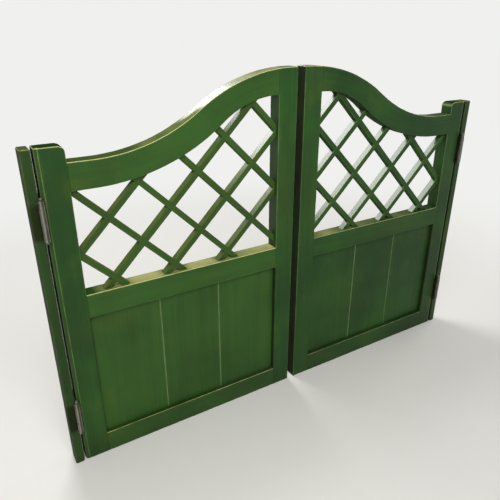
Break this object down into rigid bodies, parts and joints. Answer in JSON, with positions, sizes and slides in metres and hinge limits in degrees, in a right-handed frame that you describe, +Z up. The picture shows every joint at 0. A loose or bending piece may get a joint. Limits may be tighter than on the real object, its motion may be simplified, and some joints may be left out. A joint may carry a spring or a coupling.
{
  "type": "saloon doors",
  "caption": "Pair of double-action swing doors with curved tops, a diagonal lattice over boarded lower panels, spring hinges and slim wall posts.",
  "frame": {"origin": "bottom centre of the closed pair: midway between the posts and midway through the thickness, at the height of the leaves' and posts' bottom ends", "axes": "+X along the closed doors from the left post to the right post, +Y through the doorway from the front seen in the picture to the back, +Z up"},
  "size_m": [1.4922, 0.078, 1.042],
  "materials": {
    "painted_timber": "brushed green paint, worn to a pale undercoat on the arrises",
    "hinge_steel": "dull grey steel",
    "bright_steel": "bright steel, lightly oiled"
  },
  "bodies": {
    "frame": {"left_post": "painted_timber", "left_lower_jamb_flange": "hinge_steel", "left_upper_jamb_flange": "hinge_steel", "right_post": "painted_timber", "right_lower_jamb_flange": "hinge_steel", "right_upper_jamb_flange": "hinge_steel", "frame_springs": "bright_steel", "frame_screws": "bright_steel"},
    "left_webs": {"left_lower_web": "hinge_steel", "left_upper_web": "hinge_steel", "left_spindles": "bright_steel", "left_tension_collars": "hinge_steel"},
    "left_leaf": {"left_hinge_stile": "painted_timber", "left_meeting_stile": "painted_timber", "left_top_rail": "painted_timber", "left_middle_rail": "painted_timber", "left_bottom_rail": "painted_timber", "left_board_1": "painted_timber", "left_board_2": "painted_timber", "left_board_3": "painted_timber", "left_slat_rising_1": "painted_timber", "left_slat_rising_2": "painted_timber", "left_slat_rising_3": "painted_timber", "left_slat_rising_4": "painted_timber", "left_slat_falling_1": "painted_timber", "left_slat_falling_2": "painted_timber", "left_slat_falling_3": "painted_timber", "left_slat_falling_4": "painted_timber", "left_slat_falling_5": "painted_timber", "left_slat_falling_6": "painted_timber", "left_lower_door_flange": "hinge_steel", "left_upper_door_flange": "hinge_steel", "left_leaf_springs": "bright_steel", "left_leaf_screws": "bright_steel"},
    "right_webs": {"right_lower_web": "hinge_steel", "right_upper_web": "hinge_steel", "right_spindles": "bright_steel", "right_tension_collars": "hinge_steel"},
    "right_leaf": {"right_hinge_stile": "painted_timber", "right_meeting_stile": "painted_timber", "right_top_rail": "painted_timber", "right_middle_rail": "painted_timber", "right_bottom_rail": "painted_timber", "right_board_1": "painted_timber", "right_board_2": "painted_timber", "right_board_3": "painted_timber", "right_slat_rising_1": "painted_timber", "right_slat_rising_2": "painted_timber", "right_slat_rising_3": "painted_timber", "right_slat_rising_4": "painted_timber", "right_slat_falling_1": "painted_timber", "right_slat_falling_2": "painted_timber", "right_slat_falling_3": "painted_timber", "right_slat_falling_4": "painted_timber", "right_slat_falling_5": "painted_timber", "right_slat_falling_6": "painted_timber", "right_lower_door_flange": "hinge_steel", "right_upper_door_flange": "hinge_steel", "right_leaf_springs": "bright_steel", "right_leaf_screws": "bright_steel"}
  },
  "joints": [
    {"name": "left_swing_to_front", "type": "hinge", "parent": "frame", "child": "left_webs", "pos_m": [-0.71955, -0.031, 0.45], "axis": [0, 0, 1], "range_deg": [-90, 0], "stiffness_Nm_per_rad": 8, "springref_deg": 17.19},
    {"name": "left_swing_to_back", "type": "hinge", "parent": "left_webs", "child": "left_leaf", "pos_m": [-0.71955, 0.031, 0.45], "axis": [0, 0, 1], "range_deg": [0, 90], "stiffness_Nm_per_rad": 8, "springref_deg": -17.19},
    {"name": "right_swing_to_back", "type": "hinge", "parent": "frame", "child": "right_webs", "pos_m": [0.71955, 0.031, 0.45], "axis": [0, 0, -1], "range_deg": [0, 90], "stiffness_Nm_per_rad": 8, "springref_deg": -17.19},
    {"name": "right_swing_to_front", "type": "hinge", "parent": "right_webs", "child": "right_leaf", "pos_m": [0.71955, -0.031, 0.45], "axis": [0, 0, -1], "range_deg": [-90, 0], "stiffness_Nm_per_rad": 8, "springref_deg": 17.19}
  ]
}
